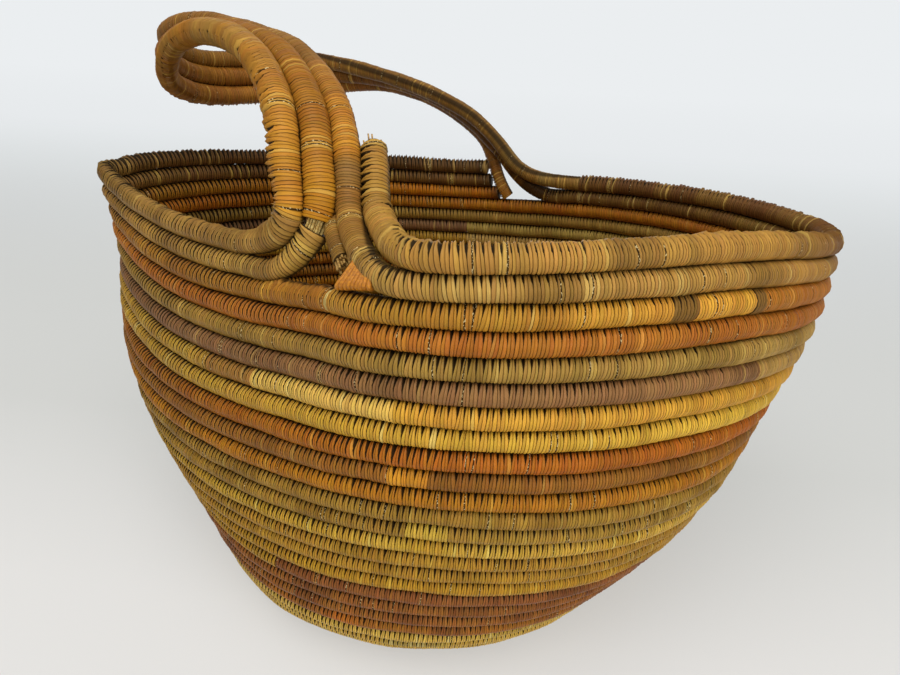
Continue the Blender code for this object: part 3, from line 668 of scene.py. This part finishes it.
proud, drawn_in, lower_courses = 1.07, 0.8, 13
for number, (name, end, slot, stops, second, odd, slit) in enumerate(bands):
    final = turn_at(*end)
    finish = binding(name + "_palm", stops, second, odd, seed=number * 17.0 + 5.0)
    raised = proud if name.endswith("lashing") else 1.0
    laid(name, slot, finish, wound(first, final), sides=12 if end[0] > lower_courses else 14,
         gap=slit * drawn_in, seed=20 + number, swell=raised)
    first = final


# The rim and the handle: two more coils are laid in above the wall. They leave the rim at the
# front foot, run side by side over the mouth as the handle and come down at the back foot. The
# route counts in coil widths and its lean in half turns; ends and joins are running angles.
strap_left_thick, strap_middle_thick, strap_right_thick = 0.0122, 0.0128, 0.0104
back_foot_share = 0.80
left_rim_end, left_rim_leaves = 82.6, 232.0
left_second_end, left_second_leaves = 441.6, 598.0
right_second_leaves, right_second_joins = 629.0, 787.0
right_rim_leaves, right_rim_joins = 275.0, 420.0
stub_end = 0.045
tail_leaves, tail_levels, tail_degrees = 0.93, (0.30, 2.24), (80.5, 77.0)
tail_thick, tail_out = 0.0086, 0.0060
handle_route_shares = (
    (-3.7, -10.1, 22.2, 0.09),
    (-4.4, -8.2, 25.1, 0.00),
    (-5.8, -5.9, 26.8, -0.03),
    (-10.3, -0.5, 28.1, -0.03),
    (-15.7, 4.3, 27.8, 0.18),
    (-18.3, 6.8, 26.8, 0.41),
    (-19.8, 9.9, 25.6, 0.54),
    (-19.5, 13.2, 24.6, 0.60),
    (-17.2, 15.8, 24.4, 0.54),
    (-13.6, 17.1, 24.6, 0.42),
    (-9.7, 17.0, 24.8, 0.21),
    (-2.4, 15.4, 23.5, 0.14),
    (0.7, 14.3, 21.8, 0.21),
    (3.3, 12.9, 19.4, 0.26),
)


def handle_frame(at):
    """Middle line of the handle and the direction from its left coil to its right one."""
    route = np.array(handle_route_shares)
    points = route[:, :3] * coil_upper
    steps = np.linalg.norm(np.diff(points, axis=0), axis=-1)
    knots = np.concatenate(([0.0], np.cumsum(steps)))
    knots = knots / knots[-1]
    at = np.atleast_1d(np.asarray(at, float))
    centre = natural_spline(knots, points, at)
    small = 0.002
    ahead = natural_spline(knots, points, np.minimum(at + small, 1.0))
    behind = natural_spline(knots, points, np.maximum(at - small, 0.0))
    along = unit(ahead - behind)
    lean = natural_spline(knots, route[:, 3], at) * math.pi
    level = unit(np.cross(along, np.array([0.0, 0.0, 1.0])))
    raised = np.cross(level, along)
    across = np.cos(lean)[:, None] * level + np.sin(lean)[:, None] * raised
    return centre, unit(across)


def strap_taper(at):
    """Share of its full thickness that the handle has along its length."""
    behind = np.clip(at * 2.0 - 1.0, 0.0, 1.0)
    return 1.0 - (1.0 - back_foot_share) * behind * behind * (3.0 - 2.0 * behind)


def strap_offset(which):
    """Distance of a coil of the handle from the handle's middle line, at full thickness."""
    left = -(strap_left_thick + strap_middle_thick + turn_gap * 2.0) * 0.5
    right = (strap_right_thick + strap_middle_thick + turn_gap * 2.0) * 0.5
    stub = right + strap_right_thick * 0.5 + coil_rim * 0.5 + turn_gap
    return {"left": left, "middle": 0.0, "right": right, "stub": stub}[which]


def strap(which, first, last, steps, thickness):
    """One coil of the handle between two shares of its length."""
    at = np.linspace(first, last, steps)
    middle, across = handle_frame(at)
    taper = strap_taper(at)
    aside = strap_offset(which) * taper[:, None]
    swollen = turn_gap * 1.3
    return middle + across * aside, across, thickness * taper * 0.5 + swollen


def back_tail():
    """The last stretch of the left coil, down the wall's edge onto the fourth course."""
    level, degrees = np.linspace(*tail_levels, 5), np.linspace(*tail_degrees, 5)
    side = unit(wall_point(level, degrees - 1.0) - wall_point(level, degrees + 1.0))
    still_out = np.linspace(1.0, 0.0, 5)[:, None] ** 2
    outward = np.cross(np.array([0.0, 0.0, 1.0]), side)
    points = wall_point(level, degrees) + outward * tail_out * still_out
    return points, side, np.full(5, tail_thick * 0.5)


def backwards(run):
    return run[0][::-1], -run[1][::-1], run[2][::-1]


def joined(*runs):
    """Runs led smoothly into one another, as one close-set middle line, with each run's start."""
    points, side, half = (np.concatenate(rows) for rows in zip(*runs))
    steps = np.linalg.norm(np.diff(points, axis=0), axis=1)
    reached = np.concatenate(([0.0], np.cumsum(steps)))
    apart = 0.002
    fine = np.linspace(0.0, reached[-1], int(reached[-1] / apart))
    starts = np.cumsum([0] + [len(run[0]) for run in runs[:-1]])
    places = np.interp(reached[starts], fine, np.arange(len(fine)))
    smooth = natural_spline(reached, points, fine)
    turned = unit(natural_spline(reached, side, fine))
    return (smooth, turned, np.interp(fine, reached, half)), [int(round(p)) for p in places]


def piece_of(run, first, last=None):
    return tuple(rows[first:None if last is None else last + 1] for rows in run)


# The third coil: the left rim, dark brown at the back, then the handle's left coil in orange and
# brown, down the wall's edge at the back foot, where it ends cut.
whole, starts = joined(wound(left_rim_end, left_rim_leaves, 5.0),
                       strap("left", 0.0, tail_leaves, 32, strap_left_thick), back_tail())
# The near-black brown at the start of the rim, at the back foot, is painted shade.
finish = binding("rim_left_palm",
                 [(0.0, "#3A2410"), (0.03, "#54361A"), (0.48, "#64421E"), (0.62, "#927036"),
                  (0.85, "#A87E3A"), (1.0, "#A67C3A")],
                 "#6A4A22", "#C49A54", 0.05, seed=401.0, touching=(0.0, 1.0))
laid("rim_left", "dark_brown", finish, piece_of(whole, 0, starts[1]), crimp=1.0, gap=0.22, seed=51)
finish = binding("strap_left_palm",
                 [(0.0, "#C88A2A"), (0.05, "#BE8228"), (0.1, "#AC742A"), (0.2, "#A47A38"),
                  (0.3, "#A27434"), (0.5, "#945E24"), (0.7, "#945C20"), (0.88, "#7A4E20"),
                  (1.0, "#9A6424")],
                 "#AA7024", "#D8A650", 0.05, seed=402.0, touching=(0.0, 1.0))
laid("strap_left", "orange", finish, piece_of(whole, starts[1]), crimp=1.0, gap=0.08,
     strip_share=0.21, loose=0.10, seed=52)


# The second coil: the left second course, the handle's middle coil, back into the right second
# course, up again as the handle's right coil, then the right rim and an upright stub, cut off.
runs = (wound(left_second_end, left_second_leaves, 5.0),
        strap("middle", 0.0, 1.0, 34, strap_middle_thick),
        backwards(wound(right_second_leaves, right_second_joins, 5.0)),
        strap("right", 0.0, 1.0, 34, strap_right_thick),
        backwards(wound(right_rim_leaves, right_rim_joins, 5.0)),
        strap("stub", 0.0, stub_end, 4, coil_rim))
whole, starts = joined(*runs)
# Where they leave the rim at the front foot, the right coil and the stub cut the corner a little.
corner, corner_lean = np.array([-0.0075, -0.1225, 0.2180]), np.array([0.0023, 0.0014, 0.0024])
corner_reach = 0.020
near = np.linalg.norm(whole[0] - corner, axis=1)
whole = (whole[0] + corner_lean * np.exp(-(near / corner_reach) ** 2)[:, None],) + whole[1:]
# The points lie 2 mm apart: the left second course's binding stops four points short of the
# handle, the middle coil's sets in two points before it and the right coil's fifteen.
stops_short, sets_in, right_sets_in = 4, 2, 15
# The darkest brown at the start of this course, at the back foot, is painted shade.
finish = binding("second_left_palm",
                 [(0.0, "#4A3016"), (0.03, "#66421C"), (0.5, "#74502A"), (0.64, "#AC8038"),
                  (1.0, "#B48A3E")],
                 "#7C5A28", "#CBA24E", 0.06, seed=411.0)
laid("second_course_left", "dark_brown", finish, piece_of(whole, 0, starts[1] - stops_short),
     seed=61)
# The near-black brown at the end of this coil, where it comes down at the back foot, is painted
# shade.
finish = binding("strap_middle_palm",
                 [(0.0, "#B27414"), (0.035, "#B47A22"), (0.07, "#A2671C"), (0.2, "#946220"),
                  (0.3, "#96601E"), (0.6, "#88541A"), (0.9, "#6E4618"), (1.0, "#3E2812")],
                 "#96621E", "#D8A650", 0.05, seed=412.0)
laid("strap_middle", "orange", finish, piece_of(whole, starts[1] - sets_in, starts[2]), gap=0.06,
     strip_share=0.20, loose=0.04, seed=62)
finish = binding("second_right_palm",
                 [(0.0, "#684420"), (0.42, "#724F22"), (0.55, "#B0803A"), (0.96, "#B48A42"),
                  (1.0, "#98702F")],
                 "#846228", "#D4AC60", 0.08, seed=413.0)
right_starts = starts[3] - right_sets_in
laid("second_course_right", "tan_brown", finish, piece_of(whole, starts[2], right_starts), top=1.0,
     seed=63)
finish = binding("strap_right_palm",
                 [(0.0, "#9C7230"), (0.056, "#98692C"), (0.061, "#8A6230"), (0.073, "#8C6430"),
                  (0.078, "#B87A22"), (0.14, "#B2752A"), (0.18, "#966A30"), (0.5, "#8C5C1E"),
                  (0.9, "#7E5C2A"), (1.0, "#9A7C3C")],
                 "#82581F", "#CE9C4C", 0.05, seed=414.0, touching=(0.3, 1.0))
laid("strap_right", "brown", finish, piece_of(whole, right_starts, starts[4]), gap=0.06,
     strip_share=0.22, loose=0.08, seed=64)
finish = binding("rim_right_palm",
                 [(0.0, "#643F1E"), (0.45, "#6E4822"), (0.58, "#B4843A"), (1.0, "#B8883C")],
                 "#84602A", "#D0A656", 0.05, seed=415.0, touching=(0.0, 1.0))
laid("rim_right", "dark_brown", finish, piece_of(whole, starts[4], starts[5]), top=1.0, crimp=0.9,
     gap=0.16, seed=65)
finish = binding("rim_stub_palm", [(0.0, "#A0742E")], "#86622A", "#C89C50", 0.05, seed=416.0,
                 touching=(0.0, 0.6))
laid("rim_stub", "dark_brown", finish, piece_of(whole, starts[5]), gap=0.16, crimp=0.8, seed=66)


# The inner stub: the cut end of an older coil that stands inside the front foot, its lower end
# bare where the binding stops and the grass shows.
stub_route = np.array([(-3.15, -9.40, 22.33), (-3.18, -9.92, 21.96), (-2.91, -10.80, 21.49),
                       (-2.45, -11.68, 21.06), (-2.25, -12.08, 20.88)]) * 0.01
stub_at = np.linspace(0.0, 1.0, 26)
fine = natural_spline([0.0, 0.18, 0.50, 0.85, 1.0], stub_route, stub_at)
stub_side = unit(np.cross(unit(np.gradient(fine, axis=0)), np.array([0.0, 1.0, 0.0])))
stub_half = np.interp(stub_at, (0.0, 0.08, 0.25, 1.0), (0.0012, 0.0028, 0.0041, 0.0040))
finish = binding("inner_stub_palm", [(0.0, "#94692A")], "#7C5822", "#B08A48", 0.05, seed=417.0)
stub_run = (fine, stub_side, stub_half)
laid("inner_stub", "dark_brown", finish, stub_run, gap=0.1, seed=67)


# The bare grass: where a binding stops or a coil ends cut, its core shows as a bundle of pale dry
# stems. Each stem is a thin tube on its own line, and a bundle is joined as one piece.
def stems(name, lines, thick):
    bpy.ops.object.select_all(action="DESELECT")
    made = []
    for line in lines:
        curve = bpy.data.curves.new(name, "CURVE")
        curve.dimensions = "3D"
        curve.bevel_depth = thick * 0.5
        curve.bevel_resolution = 1
        curve.use_fill_caps = True
        path = curve.splines.new("POLY")
        path.points.add(len(line) - 1)
        for spot, place in zip(path.points, line):
            spot.co = (*(np.asarray(place) + stand), 1.0)
        made.append(bpy.data.objects.new(name, curve))
        bpy.context.collection.objects.link(made[-1])
        made[-1].select_set(True)
    bpy.context.view_layer.objects.active = made[0]
    bpy.ops.object.convert(target="MESH")
    bpy.ops.object.join()
    bundle = bpy.context.object
    bundle.name = name
    return bundle


def dry_stem(name, light, shade):
    """Dry grass or strip seen close: two tones that change about every millimetre, half dull."""
    material, shader, link, put = new_finish(name + "_finish")
    place = put("TexCoord", output="Object")
    tones = put("TexNoise", {"Vector": place, "Scale": 900.0, "Detail": 2.0})
    share = put("MapRange", [tones, 0.35, 0.65, 0.0, 1.0], interpolation_type="SMOOTHSTEP")
    colour = put("Mix", {0: share, 6: tone(light), 7: tone(shade)}, 2, data_type="RGBA")
    link(colour, shader.inputs["Base Color"])
    shader.inputs["Roughness"].default_value = 0.5
    shader.inputs["Specular IOR Level"].default_value = 0.3
    return material


def bundle_lines(run, reach, count, flare, dice):
    """Lines side by side within a coil's thickness, spreading a little to their free ends."""
    points, side, half = run
    out = np.cross(side, unit(np.gradient(points, axis=0)))
    spread = np.linspace(1.0, flare, len(points))[:, None]
    seed_head_turn = 2.4
    lines = []
    for i in range(count):
        turn = i * seed_head_turn
        away = reach * math.sqrt((i + 0.5) / count)
        last = len(points) - int(dice.integers(0, 3))
        shift = (side * math.cos(turn) + out * math.sin(turn)) * half[:, None] * away * spread
        lines.append((points + shift)[:last])
    return lines


# At the front foot three cores show: that of the left second course, between two bindings, that
# at the inner stub's foot, and that of the cut stub, where it stands out as a tuft.
hidden, stub_bare_from, fringe, fringe_points = 4, 19, 0.0035, 4
dice = np.random.default_rng(7)
shown = piece_of(whole, starts[1] - stops_short - hidden, starts[1] - sets_in + hidden)
piece = stems("front_core_tip", bundle_lines(shown, 0.62, 26, 1.0, dice), 0.0012)
dressed(piece, "front_core_tip", dry_stem("front_core_tip", "#D9BE74", "#B08A42"))
shown = piece_of(stub_run, stub_bare_from)
lengthened = shown[0] + (fine[-1] - fine[-2]) * np.linspace(0.0, 4.0, len(shown[0]))[:, None]
lines = bundle_lines((lengthened, shown[1], shown[2]), 0.72, 22, 1.0, dice)
piece = stems("inner_stub_core", lines, 0.0011)
dressed(piece, "inner_stub", dry_stem("inner_stub_core", "#C09A54", "#8A6630"))
shown = piece_of(whole, -fringe_points)
reached = unit(shown[0][-1] - shown[0][0]) * np.linspace(0.0, fringe, fringe_points)[:, None]
lines = bundle_lines((shown[0] + reached, shown[1], shown[2]), 0.80, 40, 1.15, dice)
piece = stems("rim_stub_core", lines, 0.0007)
dressed(piece, "rim_stub", dry_stem("rim_stub_core", "#C09A58", "#8A6434"))


# The orange strip that ties the handle's right coil down to the third course: a fan of turns
# over the outside of the bend, spread a little wider where they go in below.
strip_turns, strip_width = 9, 0.0021
upper_ends = np.array([(-0.0146, -0.1304, 0.2137), (-0.0060, -0.1408, 0.2120)])
lower_ends = np.array([(-0.0206, -0.1386, 0.2052), (-0.0051, -0.1465, 0.2093)])
along = ((np.arange(strip_turns) + 0.5) / strip_turns)[:, None]
above = upper_ends[0] + (upper_ends[1] - upper_ends[0]) * along
below = lower_ends[0] + (lower_ends[1] - lower_ends[0]) * along
inward, outward = np.array([0.0, 0.0042, -0.0020]), np.array([0.0002, -0.0016, 0.0008])
lines = []
for start, end in zip(above, below):
    knots = np.array([start + inward, start + outward * 0.4, (start + end) * 0.5 + outward,
                      end, end + inward])
    bow = natural_spline([0.0, 0.2, 0.5, 0.85, 1.0], knots, np.linspace(0.0, 1.0, 14))
    lines.append(bow + dice.normal(0.0, 0.00012, 3))
piece = stems("orange_lashing", lines, strip_width)
dressed(piece, "orange_lashing", dry_stem("orange_lashing", "#C07C1C", "#A4651A"))


# The floor and backdrop: one pale sheet of paper that curves up behind, with a plain soft studio
# light. To the eye the paper takes the photograph's greys from near to far; they are painted light
# and shade in its glow, darkest just behind the basket and lighter in front and far off. The
# basket's shadow still falls on it, lightened near the basket where the glow is mixed in at a
# little over half.
paper_greys = ((-0.12, "#ECEBE8"), (0.06, "#D2D4D0"), (0.28, "#D3D6D3"), (0.52, "#D8DCDC"),
               (0.80, "#DFE3E4"), (1.3, "#E7EAEC"), (2.4, "#EBEEF0"))
near_edge, curve_starts, curve_radius, top_edge, half_width = -4.0, 3.2, 0.9, 9.0, 9.0
curve_steps = 24
outline = []
for i in range(curve_steps + 1):
    turn = math.pi / 2.0 * i / curve_steps
    outline.append((curve_starts + curve_radius * math.sin(turn),
                    curve_radius - curve_radius * math.cos(turn)))
outline = [(near_edge, 0.0)] + outline + [(curve_starts + curve_radius, top_edge)]
corners = [(x, y, z) for y, z in outline for x in (-half_width, half_width)]
faces = [(2 * i, 2 * i + 1, 2 * i + 3, 2 * i + 2) for i in range(len(outline) - 1)]
sheet = bpy.data.meshes.new("floor_sheet")
sheet.from_pydata(corners, [], faces)
sheet.shade_smooth()
floor = bpy.data.objects.new("floor_sheet", sheet)
bpy.context.collection.objects.link(floor)
paper, shader, link, put = new_finish("pale_sheet")
shader.inputs["Base Color"].default_value = tone("#D8D7D5")
shader.inputs["Roughness"].default_value = 0.9
shader.inputs["Specular IOR Level"].default_value = 0.1
position = put("NewGeometry", output="Position")
depth = put("SeparateXYZ", [position], 1)
low, high = paper_greys[0][0], paper_greys[-1][0]
ramp = put("ValToRGB", [put("MapRange", [depth, low, high, 0.0, 1.0])])
elements = ramp.node.color_ramp.elements
elements.remove(elements[1])
elements[0].position, elements[0].color = 0.0, tone(paper_greys[0][1])
for place, code in paper_greys[1:]:
    elements.new((place - low) / (high - low)).color = tone(code)
# Painted light and shade: for the eye and in reflections the paper glows in these greys.
glow = put("Emission", {"Color": ramp, "Strength": 1.0})
rays = put("LightPath").node.outputs
seen = put("MAXIMUM", [rays["Is Camera Ray"], rays["Is Glossy Ray"]])
seen = put("MAXIMUM", [seen, rays["Is Transmission Ray"]])
# Painted light over the shadow: near the basket the glow is mixed in at a little over half.
share = put("MapRange", [depth, 0.3, 1.2, 0.58, 1.0], interpolation_type="SMOOTHSTEP")
share = put("MULTIPLY", [seen, share])
surface = paper.node_tree.nodes["Material Output"].inputs["Surface"]
link(put("MixShader", [share, shader.outputs[0], glow]), surface)
sheet.materials.append(paper)


# The light: an even white room, a large soft lamp above and another in front to the right, at a
# level at which a colour renders about as it is written.
world = bpy.data.worlds.new("studio")
bpy.context.scene.world = world
world.use_nodes = True
world.node_tree.nodes["Background"].inputs["Color"].default_value = (1.0, 1.0, 1.0, 1.0)
world.node_tree.nodes["Background"].inputs["Strength"].default_value = 0.58


def softbox(name, place, power):
    """A square soft lamp, 1.3 m wide, that faces the basket's wall."""
    basket_wall, width = (0.0, 0.0, 0.1), 1.3
    bpy.ops.object.light_add(type="AREA", location=place)
    lamp = bpy.context.object
    lamp.name = name
    lamp.data.shape = "SQUARE"
    lamp.data.size = width
    lamp.data.energy = power
    way = Vector(basket_wall) - Vector(place)
    lamp.rotation_euler = way.to_track_quat("-Z", "Y").to_euler()


softbox("top_softbox", (-0.05, -0.6, 1.7), 18.0)
softbox("front_softbox", (1.2, -1.95, 0.65), 16.5)


# The camera: a phone's normal lens, held about 45 cm from the basket and a little above its rim,
# looking down into the mouth.
camera_data = bpy.data.cameras.new("camera")
camera = bpy.data.objects.new("camera", camera_data)
bpy.context.collection.objects.link(camera)
right = Vector((0.9904, 0.1337, 0.0356)).normalized()
ahead = Vector((-0.1048, 0.8930, -0.4377)).normalized()
up = right.cross(ahead)
place = Vector((0.05008, -0.37133, 0.30286)) + Vector(stand)
camera.matrix_world = Matrix.Translation(place) @ Matrix((right, up, -ahead)).transposed().to_4x4()
camera_data.sensor_width = 36.0
camera_data.lens = 28.0
camera_data.clip_start = 0.02
bpy.context.scene.camera = camera
bpy.context.scene.view_settings.view_transform = "Standard"
